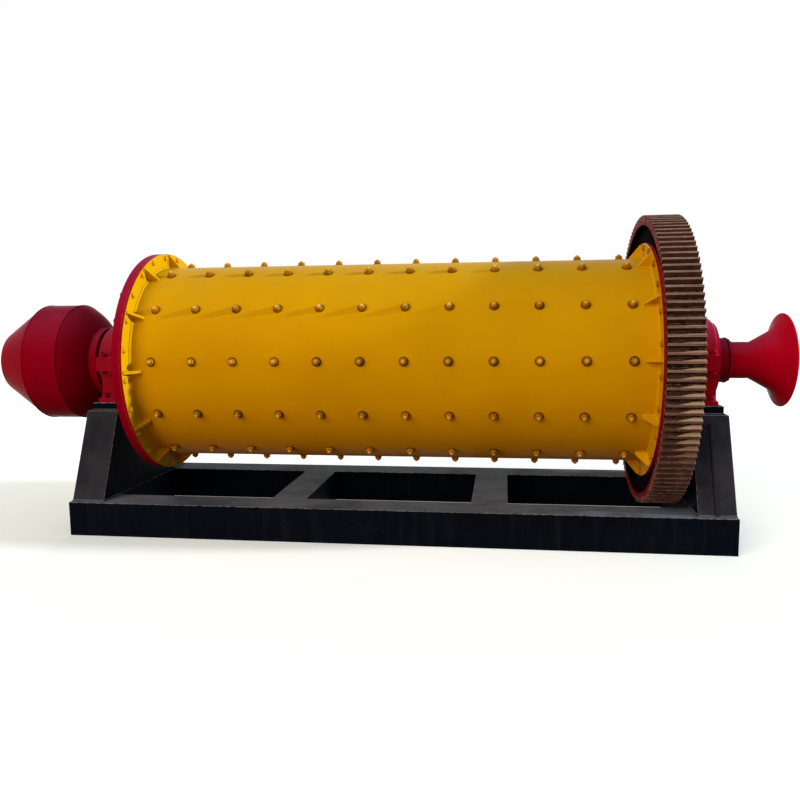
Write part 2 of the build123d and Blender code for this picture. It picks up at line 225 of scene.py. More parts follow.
class MillFinishes(bpy.types.PropertyGroup):
    """Colours of the paints, metals, dust and painted sheen, and arcs of the gear's painted light and paler
    tips.
    """

    # Dust on upward faces; its blue tint, and its amount on red paints, also stand for the sky's reflection:
    # painted sheen
    dust: colour("Dust on upward faces", (0.225, 0.245, 0.320))
    # Painted sky reflection: a purplish red on the upward faces of red paints
    red_sky_sheen: colour("Bleached red on upward faces", (0.34, 0.07, 0.30))
    tooth_land: colour("Worn tips of the gear's teeth", (0.215, 0.130, 0.118))
    tooth_flank: colour("Oily flanks of the gear's teeth", (0.075, 0.038, 0.031))
    # Painted sunlight: pale wedges on one flank of the teeth, which also stand for the pinion's rub
    tooth_contact_and_lit: colour("Flanks that the pinion rubs bare", (0.33, 0.225, 0.145))
    tooth_edge: colour("Bare edges of the gear's teeth", (0.58, 0.46, 0.36))
    # Angle of the arc where those painted sunlit wedges are strongest
    contact_and_lit_turn: turn("Angle of the teeth that are rubbed most", 0.0)
    # Angle of the arc where the tips are paler; away from it they are darker
    pale_tip_turn: turn("Angle of the teeth that stay driest", radians(32.0))
    gear_side: colour("Paint on the gear's sides", (0.150, 0.0030, 0.0120))
    # The inside of the gear's rim is near black
    gear_inside: colour("Grimy inside of the gear's rim", (0.0035, 0.0030, 0.0030))
    liner: colour("Cast liner plates", (0.15, 0.135, 0.125))
    rubber: colour("Seal ring", (0.005, 0.005, 0.005))


# Where each paint is, its colour, the colour of its darker patches and that of its worn edges
PAINT_TONES = {
    "yellow": ("shell", (0.545, 0.300, 0.0006), (0.505, 0.266, 0.0005), (0.78, 0.47, 0.03)),
    "nut": ("liner nuts", (0.40, 0.185, 0.002), (0.25, 0.105, 0.002), (0.72, 0.42, 0.03)),
    # Liner washers are dark: grime, and painted shade of the dark ring round each nut
    "washer": ("liner washers", (0.20, 0.085, 0.002), (0.090, 0.034, 0.0015), (0.34, 0.155, 0.003)),
    # Pale stud ends: bare steel, and a painted highlight on each bolt's top
    "stud": ("ends of the liner bolts", (0.72, 0.46, 0.09), (0.34, 0.17, 0.01), (0.86, 0.66, 0.27)),
    "red": ("heads, the feeder and the feed bearing", (0.250, 0.0009, 0.0140), (0.205, 0.0007, 0.0095),
            (0.50, 0.012, 0.045)),
    # Painted light: a brighter copy of the heads' red, standing for more light on the trumpet and discharge
    # bearing
    "bright_red": ("trumpet and the discharge bearing", (0.42, 0.0010, 0.0190), (0.36, 0.0008, 0.0140),
                   (0.62, 0.015, 0.060)),
    # The frame's blue-tinted black stands for the sky's reflection, painted reflection; its pale edges are
    # wear and painted highlight
    "black": ("base frame", (0.0016, 0.0030, 0.0078), (0.0010, 0.0017, 0.0038), (0.58, 0.62, 0.62)),
}
TONES = {"": "Paint of the", "_deep": "Darker patches on the", "_edge": "Worn edges of the"}
for paint_name, (where, *tones) in PAINT_TONES.items():
    for (suffix, words), tone in zip(TONES.items(), tones):
        MillFinishes.__annotations__[paint_name + suffix] = colour(f"{words} {where}", tone)
labelled(MillFinishes)


@labelled
class MillStage(bpy.types.PropertyGroup):
    """Floor, lamps and camera."""

    floor_size: length("Side of the square floor", 90.0)
    floor_drop: length("How far the floor lies under the rails", 0.0005)
    floor_tone: share("How much lamp light the floor shows", 0.80)
    floor_lift: share("How pale the floor looks in shadow", 0.24)
    floor_bounce: share("How much light the floor throws back on the mill", 0.05)
    sky: level("Strength of the light all round", 0.42)
    sky_tint: colour("Colour of the light all round", (0.74, 1.0, 1.0))
    key: level("Strength of the key light", 4.4)
    front: level("Strength of the light in front", 2.36)
    low: level("Power of the warm lamp near the floor", 235.0)
    rear: level("Power of the lamp behind", 480.0)
    lens: level("Focal length in millimetres", 33.574)
    camera_place: position("From the middle of the drum's axis", (0.68287, -4.74961, 0.30682))
    camera_yaw: turn("Turn of the camera to the left", 0.139419)
    camera_pitch: turn("Tilt of the camera downwards", 0.116413)
    camera_roll: turn("Lean of the camera", -0.0110987)


# Shapes: points, and blocks of faces with the same number of corners


def radial(angle):
    """Unit vectors square to the drum's axis: (0, -cos a, sin a) for each angle a."""
    angle = np.asarray(angle, float)
    return np.stack([np.zeros_like(angle), -np.cos(angle), np.sin(angle)], -1)


def every(count, first=0.0):
    """Equal steps round a full turn, from the first angle."""
    return first + np.arange(count) * 2 * pi / count


def on_circle(x, radius, angle):
    """Points round the drum's axis: (x, 0, axis height) + r (0, -cos a, sin a)."""
    return AXIS * (0, 1, 1) + np.asarray(x)[..., None] * ALONG + np.asarray(radius)[..., None] * radial(angle)


def turned(profile, sides):
    """Turns rows of (radius, height, half size across flats) about +Z.

    The point at angle a of a row lies at height h and radius min(r, f / cos(a')), where a' is the angle from
    the middle of the nearest of six flats. The first and last row are poles on the axis.
    """
    rows = np.array(profile, float)
    rings = rows[1:-1]
    angle = every(sides)
    from_flat = (angle + pi / 6) % (pi / 3) - pi / 6
    reach = np.minimum(rings[:, :1], rings[:, 2:] / np.cos(from_flat))
    height = np.broadcast_to(rings[:, 1:2], reach.shape)
    points = np.stack([reach * np.cos(angle), reach * np.sin(angle), height], -1).reshape(-1, 3)
    index = np.arange(len(points)).reshape(reach.shape)
    after = np.roll(index, -1, 1)
    quads = np.stack([index[:-1], after[:-1], after[1:], index[1:]], -1).reshape(-1, 4)
    pole = np.full(sides, len(points))
    foot = np.stack([pole, after[0], index[0]], 1)
    top = np.stack([pole + 1, index[-1], after[-1]], 1)
    return np.vstack([points, np.outer(rows[[0, -1], 1], UP)]), [quads, foot, top]


# Larger than any radius or half size across flats here, so that the other of the two decides
ROUND = 10.0


def washer(diameter, thickness, sink=0.001):
    """A round disc with a broken edge, let in by the sink so that it has no gap under it."""
    r = diameter / 2
    edge = thickness * 0.28
    rows = [(0, -sink, ROUND), (r, -sink, ROUND), (r, thickness - edge, ROUND), (r - edge, thickness, ROUND),
            (0, thickness, ROUND)]
    return turned(rows, sides=24)


def hex_rows(half, foot, top, chamfer):
    """Rows of a hexagon with a chamfered top, whose flats lie half a size from the axis."""
    return [(0, foot, half), (ROUND, foot, half), (ROUND, top - chamfer, half), (half * 0.97, top, half)]


def hex_head(flats, height, foot=0.0):
    """A hexagon head with a chamfered top, from foot up to foot plus height."""
    half, top = flats / 2, foot + height
    return turned([*hex_rows(half, foot, top, 0.13 * height), (0, top, half)], sides=12)


def stud_nut(flats, height, stud, proud, foot=0.0):
    """A hexagon nut with a chamfered top, and the stud's end that stands proud of it."""
    r, top = stud / 2, foot + height
    end = top + proud
    bevel = stud * 0.16
    thread = [(r, top, ROUND), (r, end - bevel, ROUND), (r - bevel, end, ROUND), (0, end, ROUND)]
    return turned([*hex_rows(flats / 2, foot, top, 0.10 * height), *thread], sides=12)


def scatter(shape, places, directions, sides, spins):
    """Copies a shape to every place, with its height along the direction there.

    A copy's point is place + x u + y v + z w, where w is the direction, u is the side vector turned by the
    spin about w, and v = w x u.
    """
    points, blocks = shape
    count = len(places)
    w = np.broadcast_to(directions, (count, 3))
    side = np.broadcast_to(sides, (count, 3))
    spins = np.broadcast_to(spins, (count,))[:, None]
    u = side * np.cos(spins) + np.cross(w, side) * np.sin(spins)
    axes = np.stack([u, np.cross(w, u), w], -1)
    moved = np.asarray(places)[:, None, :] + np.einsum("nij,kj->nki", axes, points)
    starts = (np.arange(count) * len(points))[:, None, None]
    return moved.reshape(-1, 3), [(block + starts).reshape(-1, block.shape[1]) for block in blocks]


def joined(*meshes):
    """Several meshes as one."""
    starts = np.cumsum([0] + [len(points) for points, _ in meshes])
    blocks = [block + start for (_, part), start in zip(meshes, starts) for block in part]
    return np.concatenate([points for points, _ in meshes]), blocks


def bolt_circle(shapes, x, way, radius, angle, spins):
    """Shapes at angles on a circle round the drum's axis, each with its height along +X or -X."""
    places = on_circle(x, radius, angle)
    return joined(*(scatter(shape, places, way * ALONG, radial(angle), spins) for shape in shapes))


def beads(paths, first, second, leg, ripple, closed=False, full=False, rough=0.16):
    """Weld beads along paths of shape (beads, samples, 3), between two walls.

    The section's point at angle p is path + d (cos p A + sin p B), where A and B run along the walls and
    d = leg (1 + rough saw(s / ripple + 0.35 bow(p))) with s the length along the path: a saw of overlapping
    ripples that bow backwards at their sides. A fillet's section runs from A to B and closes behind the
    corner; a full one goes all the way round.
    """
    paths = np.asarray(paths, float)
    a = np.broadcast_to(first, paths.shape)[:, :, None, :]
    b = np.broadcast_to(second, paths.shape)[:, :, None, :]
    ahead = np.roll(paths, -1, 1) if closed else np.concatenate([paths[:, 1:], paths[:, -1:]], 1)
    steps = np.linalg.norm(ahead - paths, axis=-1)
    along = np.cumsum(steps, 1) - steps
    if closed:
        whole = along[:, -1:] + steps[:, -1:]
        along = along * (ripple * np.round(whole / ripple)) / whole
    angle = every(8) if full else np.radians(np.linspace(-6, 96, 6))
    bow = np.cos(angle) * 0.5 if full else ((angle - pi / 4) / (pi / 4)) ** 2
    saw = (along[:, :, None] / ripple + 0.35 * bow) % 1.0
    reach = (leg * (1 + rough * saw))[..., None]
    points = paths[:, :, None, :] + reach * (np.cos(angle)[:, None] * a + np.sin(angle)[:, None] * b)
    if not full:
        behind = paths[:, :, None, :] - 0.3 * leg * (a + b)
        points = np.concatenate([points, behind], 2)
    index = np.arange(points[..., 0].size).reshape(points.shape[:3])
    here = index if closed else index[:, :-1]
    there = np.roll(index, -1, 1) if closed else index[:, 1:]
    blocks = [np.stack([here, np.roll(here, -1, 2), np.roll(there, -1, 2), there], -1).reshape(-1, 4)]
    if not closed:
        blocks += [index[:, 0, ::-1], index[:, -1]]
    run = ahead[0, 0] - paths[0, 0]
    if np.dot(np.cross(a[0, 0, 0], b[0, 0, 0]), run) < 0:
        blocks = [block[:, ::-1] for block in blocks]
    return points.reshape(-1, 3), blocks


def straight(starts, ends, ripple):
    """Straight paths from starts to ends: start + t (end - start)."""
    starts = np.asarray(starts, float)
    ends = np.asarray(ends, float)
    reach = np.linalg.norm(ends - starts, axis=-1).max()
    t = np.linspace(0, 1, max(3, int(RIPPLE_SAMPLES * reach / ripple)))[None, :, None]
    return starts[:, None, :] + t * (ends - starts)[:, None, :]


def circle(x, radius, ripple):
    """One closed path round the drum's axis, and its radial directions."""
    angle = every(int(RIPPLE_SAMPLES * 2 * pi * radius / ripple))
    return on_circle(x, radius, angle)[None], radial(angle)[None]


def bend(first, corner, last, count):
    """A smooth bend about a corner: (1 - t)^2 first + 2 t (1 - t) corner + t^2 last."""
    t = np.linspace(0, 1, count)[:, None]
    return (1 - t) ** 2 * np.array(first) + 2 * t * (1 - t) * np.array(corner) + t**2 * np.array(last)


def spun(profile, sides):
    """Turns a closed profile of (x, radius) rows about the drum's axis.

    The profile runs towards +X on the outside and back on the inside.
    """
    rows = np.asarray(profile)
    points = on_circle(rows[:, :1], rows[:, 1:], every(sides))
    index = np.arange(points[..., 0].size).reshape(points.shape[:2])
    ahead = np.roll(index, -1, 0)
    quads = np.stack([index, ahead, np.roll(ahead, -1, 1), np.roll(index, -1, 1)], -1)
    return points.reshape(-1, 3), [quads.reshape(-1, 4)]


def add_piece(name, shape, material, body):
    """Puts a shape into the scene, smooth apart from its sharp edges, riding on a body."""
    points, blocks = shape
    faces = []
    for block in blocks:
        faces += block.tolist()
    mesh = bpy.data.meshes.new(name)
    mesh.from_pydata(points.tolist(), [], faces)
    mesh.shade_smooth()
    mesh.set_sharp_from_angle(angle=SHARP_ANGLE)
    mesh.materials.append(material)
    piece = bpy.data.objects.new(name, mesh)
    bpy.context.scene.collection.objects.link(piece)
    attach(piece, body)
    return piece


# Finishes


def put(tree, kind, inputs=None, **settings):
    """Adds a node, sets its properties, and links or sets its inputs by name or number."""
    node = tree.nodes.new(kind)
    for key, value in settings.items():
        setattr(node, key, value)
    for socket, value in (inputs or {}).items():
        if isinstance(value, bpy.types.NodeSocket):
            tree.links.new(value, node.inputs[socket])
        else:
            node.inputs[socket].default_value = value
    return node


def object_place(tree):
    """The place on the piece, in its own coordinates."""
    return put(tree, "ShaderNodeTexCoord").outputs["Object"]


def maths(tree, operation, first, second=0.0, third=0.0, clamp=False):
    """One step of arithmetic."""
    inputs = {0: first, 1: second, 2: third}
    return put(tree, "ShaderNodeMath", inputs, operation=operation, use_clamp=clamp).outputs[0]


def product(tree, first, *others):
    """The product of several values."""
    for other in others:
        first = maths(tree, "MULTIPLY", first, other)
    return first


def vectors(tree, operation, first, second=(0, 0, 0), output="Vector"):
    """One step of vector arithmetic."""
    return put(tree, "ShaderNodeVectorMath", {0: first, 1: second}, operation=operation).outputs[output]


def coordinate(tree, vector, axis):
    """One coordinate of a vector."""
    return put(tree, "ShaderNodeSeparateXYZ", {0: vector}).outputs[axis]


def stretched(tree, vector, scale):
    """A vector with each coordinate times its own scale."""
    return put(tree, "ShaderNodeMapping", {"Vector": vector, "Scale": scale}).outputs[0]


def ramp(tree, value, low, high, shape="SMOOTHSTEP"):
    """A step from 0 at low to 1 at high."""
    inputs = {"Value": value, "From Min": low, "From Max": high}
    return put(tree, "ShaderNodeMapRange", inputs, interpolation_type=shape).outputs["Result"]


def noise(tree, vector, scale, detail=3.0, roughness=0.55):
    """A noise value over the surface."""
    inputs = {"Vector": vector, "Scale": scale, "Detail": detail, "Roughness": roughness}
    return put(tree, "ShaderNodeTexNoise", inputs).outputs["Fac"]


def mixed(tree, factor, first, second):
    """A blend of two colours."""
    return put(tree, "ShaderNodeMix", {0: factor, 6: first, 7: second}, data_type="RGBA").outputs[2]


def rgba(values, factor=1.0):
    """A colour times a factor, as four numbers."""
    return (*(factor * value for value in values), 1.0)


def new_group(name, inputs, outputs):
    """A shader node group with named float inputs and outputs."""
    tree = bpy.data.node_groups.new(name, "ShaderNodeTree")
    for way, labels in (("INPUT", inputs), ("OUTPUT", outputs)):
        for label in labels:
            tree.interface.new_socket(label, in_out=way, socket_type="NodeSocketFloat")
    entry = tree.nodes.new("NodeGroupInput")
    leave = tree.nodes.new("NodeGroupOutput")
    return tree, entry.outputs, leave.inputs, object_place(tree)


def settled_dust_group():
    """Dust and painted sky sheen on faces that look up: a smooth step of the normal's z, broken up by two
    noises.
    """
    tree, given, made, place = new_group("Settled dust", ["Amount"], ["Mask"])
    normal = put(tree, "ShaderNodeNewGeometry").outputs["Normal"]
    lying = ramp(tree, coordinate(tree, normal, "Z"), 0.12, 1.0)
    broad = noise(tree, place, scale=3.0, detail=5.0, roughness=0.6)
    fine = noise(tree, place, scale=160.0, detail=2.0)
    broken = ramp(tree, maths(tree, "MULTIPLY_ADD", fine, 0.35, broad), 0.42, 0.86)
    cover = product(tree, lying, maths(tree, "MULTIPLY_ADD", broken, 0.7, 0.3))
    tree.links.new(maths(tree, "MULTIPLY", cover, given["Amount"], clamp=True), made["Mask"])
    return tree


def worn_edges_group():
    """Thin paint on edges: where the rounded normal leaves the face's own, broken up by noise.

    With Upward at 1 only the edges that look up are worn, where feet and rain reach them; on the frame
    their pale colour is also a painted highlight of light from above.
    """
    tree, given, made, place = new_group("Worn edges", ["Width", "Amount", "Upward"], ["Mask"])
    rounded = put(tree, "ShaderNodeBevel", {"Radius": given["Width"]}, samples=4).outputs["Normal"]
    normal = put(tree, "ShaderNodeNewGeometry").outputs["Normal"]
    facing = vectors(tree, "DOT_PRODUCT", rounded, normal, "Value")
    edge = ramp(tree, maths(tree, "SUBTRACT", 1.0, facing), 0.02, 0.22)
    chipped = ramp(tree, noise(tree, place, scale=34.0, detail=4.0, roughness=0.65), 0.36, 0.62)
    lifted = ramp(tree, coordinate(tree, rounded, "Z"), 0.15, 0.45)
    hidden = product(tree, given["Upward"], maths(tree, "SUBTRACT", 1.0, lifted))
    worn = product(tree, edge, chipped, maths(tree, "SUBTRACT", 1.0, hidden))
    tree.links.new(maths(tree, "MULTIPLY", worn, given["Amount"], clamp=True), made["Mask"])
    return tree


def paint_skin_group():
    """Patches of tone, and the paint's surface: long waves of the plate plus a fine peel or cast grain."""
    tree, given, made, place = new_group("Paint skin", ["Peel", "Grain"], ["Tone", "Height", "Gloss"])
    waves = noise(tree, place, scale=2.6, detail=1.0)
    peel = noise(tree, place, scale=given["Peel"], detail=2.0)
    height = maths(tree, "MULTIPLY_ADD", waves, 6.0, product(tree, peel, given["Grain"]))
    patches = noise(tree, place, scale=2.1, detail=4.0, roughness=0.6)
    tree.links.new(ramp(tree, patches, 0.30, 0.74), made["Tone"])
    tree.links.new(height, made["Height"])
    tree.links.new(noise(tree, place, scale=14.0, detail=4.0, roughness=0.6), made["Gloss"])
    return tree


def grime_group():
    """Dirt: pale runs drawn out downwards, and specks thrown up to 0.3 m above the ground."""
    tree, given, made, place = new_group("Grime", ["Streaks", "Specks"], ["Mask"])
    drawn = stretched(tree, place, (9.0, 9.0, 0.9))
    runs = ramp(tree, noise(tree, drawn, scale=2.2, detail=5.0, roughness=0.62), 0.50, 0.78)
    low = ramp(tree, maths(tree, "SUBTRACT", 0.3, coordinate(tree, place, "Z")), 0.0, 0.28)
    spots = ramp(tree, noise(tree, place, scale=230.0, detail=2.0), 0.60, 0.74)
    clouds = ramp(tree, noise(tree, place, scale=5.0, detail=3.0), 0.44, 0.70)
    streak = product(tree, runs, given["Streaks"])
    speck = product(tree, spots, clouds, low, given["Specks"])
    tree.links.new(maths(tree, "MAXIMUM", streak, speck, clamp=True), made["Mask"])
    return tree


GROUP_MAKERS = {
    "Settled dust": settled_dust_group,
    "Worn edges": worn_edges_group,
    "Paint skin": paint_skin_group,
    "Grime": grime_group,
}


def effect(tree, name, **values):
    """Places a shared effect in a material, with its own values."""
    group = bpy.data.node_groups.get(name) or GROUP_MAKERS[name]()
    return put(tree, "ShaderNodeGroup", values, node_tree=group).outputs


def axis_radius(tree):
    """The distance of a point from the drum's axis, and the vector from the axis to it."""
    from_axis = vectors(tree, "SUBTRACT", object_place(tree), tuple(AXIS))
    flat = vectors(tree, "MULTIPLY", from_axis, (0, 1, 1))
    return vectors(tree, "LENGTH", flat, output="Value"), flat


def new_material(name):
    """An empty material with a Principled BSDF."""
    material = bpy.data.materials.new(name)
    material.use_nodes = True
    tree = material.node_tree
    tree.nodes.clear()
    shader = put(tree, "ShaderNodeBsdfPrincipled")
    put(tree, "ShaderNodeOutputMaterial", {"Surface": shader.outputs[0]})
    return material, tree, shader


def surface(tree, shader, base, rough, specular, height, strength):
    """Links a material's colour, roughness and bump of up to a millimetre, and sets its specular level."""
    bump = put(tree, "ShaderNodeBump", {"Height": height, "Strength": strength, "Distance": 0.001})
    tree.links.new(base, shader.inputs["Base Color"])
    tree.links.new(rough, shader.inputs["Roughness"])
    tree.links.new(bump.outputs[0], shader.inputs["Normal"])
    shader.inputs["Specular IOR Level"].default_value = specular


PLAIN_PAINT = dict(gloss=0.34, specular=0.014, dust=0.05, edges=0.45, width=0.004, upward=0.0, peel=420.0,
                   grain=0.2, bump=0.16)
GLOSS_PAINT = dict(gloss=0.24, specular=0.003, edges=0.35)
CAST_PAINT = dict(edges=0.50, width=0.005, peel=130.0, grain=2.2, bump=0.5)
FASTENER_PAINT = dict(dust=0.0, width=0.002)
WELD_PAINT = dict(specular=0.04, edges=0.0, width=0.003)
PAINTS = {
    "shell_yellow": dict(paint="yellow", dust=0.015),
    "flange_yellow": dict(paint="yellow", rim=FLANGE_RADIUS),
    "weld_yellow": WELD_PAINT | dict(paint="yellow", gloss=0.42),
    "bolt_yellow": dict(paint="yellow", gloss=0.38, specular=0.06, edges=0.80, width=0.003),
    "nut_ochre": FASTENER_PAINT | dict(paint="nut", gloss=0.50, specular=0.08),
    # Dark washers: grime, and painted shade round each nut
    "washer_grime": FASTENER_PAINT | dict(paint="washer", gloss=0.55, specular=0.06, edges=0.40),
    # Pale stud ends: bare steel, and painted highlight
    "stud_steel": FASTENER_PAINT | dict(paint="stud", gloss=0.45, specular=0.15, edges=0.60),
    # Red paints: the purplish red on upward faces is painted sky reflection, and the trumpet's extra dust
    # adds painted sheen
    "gloss_red": GLOSS_PAINT | dict(paint="red", dust=0.035, fade=0.13),
    # The trumpet and discharge bearing take the brighter red: painted light
    "trumpet_red": GLOSS_PAINT | dict(paint="bright_red", dust=0.055, fade=0.15),
    "cast_red": CAST_PAINT | dict(paint="red", specular=0.06, dust=0.04, fade=0.10),
    "cast_bright_red": CAST_PAINT | dict(paint="bright_red", specular=0.04, fade=0.20),
    # The frame's pale upward edges are worn paint and painted highlight of light from above
    "frame_black": dict(paint="black", gloss=0.55, specular=0.03, dust=0.58, edges=0.85, width=0.007,
                        upward=1.0, streaks=0.020, specks=0.26),
    "weld_black": WELD_PAINT | dict(paint="black", gloss=0.50, dust=0.50),
}
# The discharge bearing takes the brighter red: painted light
BEARING_PAINTS = {"feed": "cast_red", "discharge": "cast_bright_red"}
# How deep the red of a rim goes, how far the gloss of a paint varies, and how much rougher dust makes it
RIM_DEPTH = 0.0012
GLOSS_SPREAD = 0.16
DUST_ROUGHNESS = 0.4


def paint(name):
    """A paint from the table: tone patches, dirt, thin paint on edges, dust on top with painted sky sheen, a
    painted sky reflection of purplish red on the upward faces of reds, peel and plate waves.

    A paint with a rim is red on the faces that lie at that distance from the drum's axis.
    """
    found = bpy.data.materials.get(name)
    if found:
        return found
    finish = bpy.context.scene.mill_finishes
    values = PLAIN_PAINT | PAINTS[name]
    tint, deep, thin = (rgba(getattr(finish, values["paint"] + tone)) for tone in ("", "_deep", "_edge"))
    material, tree, shader = new_material(name)
    skin = effect(tree, "Paint skin", Peel=values["peel"], Grain=values["grain"])
    base = mixed(tree, skin["Tone"], tint, deep)
    if "rim" in values:
        outside = ramp(tree, axis_radius(tree)[0], values["rim"] - RIM_DEPTH, values["rim"] - RIM_DEPTH / 2)
        base = mixed(tree, outside, base, rgba(finish.red))
    # Painted sky reflection: purplish red on upward faces
    if "fade" in values:
        sky_sheen_mask = effect(tree, "Settled dust", Amount=values["fade"])["Mask"]
        base = mixed(tree, sky_sheen_mask, base, rgba(finish.red_sky_sheen))
    if "streaks" in values:
        dirt = effect(tree, "Grime", Streaks=values["streaks"], Specks=values["specks"])["Mask"]
        base = mixed(tree, dirt, base, rgba(finish.dust))
    edge = effect(tree, "Worn edges", Width=values["width"], Amount=values["edges"], Upward=values["upward"])
    base = mixed(tree, edge["Mask"], base, thin)
    # Dust on upward faces, and on red paints also painted sky sheen
    dust = effect(tree, "Settled dust", Amount=values["dust"])["Mask"]
    base = mixed(tree, dust, base, rgba(finish.dust))
    smooth = values["gloss"] - GLOSS_SPREAD / 2
    rough = maths(tree, "MULTIPLY_ADD", skin["Gloss"], GLOSS_SPREAD, smooth)
    rough = maths(tree, "MULTIPLY_ADD", dust, DUST_ROUGHNESS, rough, clamp=True)
    surface(tree, shader, base, rough, values["specular"], skin["Height"], values["bump"])
    return material


def gear_arc(tree, flat, radius, angle, low, high):
    """A smooth step of the cosine of a point's turn from an angle round the gear."""
    towards = vectors(tree, "DOT_PRODUCT", flat, tuple(radial(angle)), "Value")
    return ramp(tree, maths(tree, "DIVIDE", towards, radius), low, high)


def gear_finish():
    """The ring gear, by its distance r from the axis and the way its faces look.

    Tips are dull brown, with bare edges, paler round one arc and darker away from it. Flanks are oily, and
    darken towards the root: painted shade in the tooth gaps. One flank of each tooth, the one the pinion
    drives, is painted pale where its distance from the discharge side is less than 20 mm + 95 mm (r - root) /
    depth + up to 30 mm of noise, and most on the arc where the gear runs out and meshes deepest: a painted
    sunlit wedge, as low light from the discharge side falls into the gaps, that also stands for the pinion's
    rub. Faces square to the axis carry red paint, and the inside of the rim is near black.
    """
    finish = bpy.context.scene.mill_finishes
    material, tree, shader = new_material("gear_iron")
    place = object_place(tree)
    normal = put(tree, "ShaderNodeTexCoord").outputs["Normal"]
    radius, flat = axis_radius(tree)
    rise = ramp(tree, radius, GEAR_RADIUS - TOOTH_DEPTH, GEAR_RADIUS, "LINEAR")
    blotches = noise(tree, place, scale=16.0, detail=5.0, roughness=0.65)
    drawn = stretched(tree, place, (0.7, 9.0, 9.0))

    patches = ramp(tree, blotches, 0.32, 0.68)
    oily = mixed(tree, patches, rgba(finish.tooth_flank), rgba(finish.tooth_flank, 0.5))
    # Painted sunlit wedge on one flank, long at the tip and short at the root, also standing for the pinion's
    # rub
    turning = coordinate(tree, vectors(tree, "CROSS_PRODUCT", normal, flat), "X")
    driven = ramp(tree, turning, 0.3, 0.5)
    inset = maths(tree, "SUBTRACT", face_x("ring_gear", 1.0), coordinate(tree, place, "X"))
    reach = maths(tree, "MULTIPLY_ADD", rise, 0.095, 0.020)
    reach = maths(tree, "MULTIPLY_ADD", noise(tree, place, scale=22.0, detail=2.0), 0.03, reach)
    rubbed_and_lit = ramp(tree, maths(tree, "SUBTRACT", reach, inset), -0.004, 0.008)
    # Strongest on one arc, where the painted light falls and the gear meshes deepest
    meshing_and_lit = gear_arc(tree, flat, radius, finish.contact_and_lit_turn, low=0.78, high=0.97)
    flank = mixed(tree, product(tree, rubbed_and_lit, driven, meshing_and_lit), oily, rgba(finish.tooth_contact_and_lit))
    # Painted shade: flanks darken towards the root, deep in the tooth gaps
    flank = mixed(tree, ramp(tree, rise, 0.30, 0.05), flank, rgba(finish.tooth_flank, 0.2))

    # Tips paler round one arc and darker away from it
    pale_arc = gear_arc(tree, flat, radius, finish.pale_tip_turn, low=0.45, high=0.95)
    bare = mixed(tree, pale_arc, rgba(finish.tooth_land, 0.34), rgba(finish.tooth_land))
    dull = mixed(tree, pale_arc, rgba(finish.tooth_land, 0.16), rgba(finish.tooth_land, 0.5))
    tip = mixed(tree, ramp(tree, noise(tree, drawn, scale=9.0, detail=4.0), 0.28, 0.66), dull, bare)
    teeth = mixed(tree, ramp(tree, rise, 0.94, 0.975), flank, tip)

    worn = ramp(tree, blotches, 0.42, 0.70)
    painted = mixed(tree, worn, rgba(finish.gear_side), rgba(finish.gear_side, 0.4))
    side = ramp(tree, maths(tree, "ABSOLUTE", coordinate(tree, normal, "X")), 0.6, 0.8)
    edge = effect(tree, "Worn edges", Width=0.0045, Amount=0.85)["Mask"]
    base = mixed(tree, edge, mixed(tree, side, teeth, painted), rgba(finish.tooth_edge))
    # The inside of the rim is near black
    inside = GEAR_RADIUS - GEAR_RIM
    rim = ramp(tree, radius, inside - 0.0005, inside + 0.0005)
    base = mixed(tree, rim, rgba(finish.gear_inside), base)
    rough = maths(tree, "MULTIPLY_ADD", blotches, 0.3, 0.28)
    rough = maths(tree, "MAXIMUM", rough, maths(tree, "SUBTRACT", 0.95, rim))
    grain = maths(tree, "MULTIPLY_ADD", noise(tree, place, scale=180.0), 0.6, noise(tree, drawn, scale=60.0))
    surface(tree, shader, base, rough, specular=0.008, height=grain, strength=0.35)
    return material


def rough_finish(name, tint, roughness, scale, depth, metallic=0.0):
    """Cast iron or rubber: two tones by noise, with a grain of the given scale and depth."""
    material, tree, shader = new_material(name)
    place = object_place(tree)
    broad = ramp(tree, noise(tree, place, scale=scale * 0.12, detail=4.0), 0.35, 0.7)
    base = mixed(tree, broad, rgba(tint), rgba(tint, 0.5))
    rough = maths(tree, "MULTIPLY_ADD", broad, 0.2, roughness)
    surface(tree, shader, base, rough, specular=0.06, height=noise(tree, place, scale), strength=depth)
    shader.inputs["Metallic"].default_value = metallic
    return material


class MILL_OT_finishes(bpy.types.Operator):
    """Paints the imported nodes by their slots"""

    bl_idname = "mill.finishes"
    bl_label = "Paint the packed nodes"

    def execute(self, context):
        finish = context.scene.mill_finishes
        by_slot = {
            "yellow_paint": paint("shell_yellow"),
            "red_paint": paint("gloss_red"),
            "black_paint": paint("frame_black"),
            "gear_steel": gear_finish(),
            "liner_steel": rough_finish("liner_iron", finish.liner, roughness=0.55, scale=60.0, depth=0.6,
                                        metallic=0.6),
            "seal_rubber": rough_finish("seal_rubber", finish.rubber, roughness=0.6, scale=200.0, depth=0.25),
        }
        for part in frame["record"]["subparts"]:
            name = part["node"]
            material = by_slot[part["material_slot"]]
            if "_bearing_" in name:
                material = paint(BEARING_PAINTS[name.split("_")[0]])
            elif name.endswith("_shell_flange"):
                material = paint("flange_yellow")
            for material_slot in frame["nodes"][name].material_slots:
                material_slot.material = material
        return {"FINISHED"}


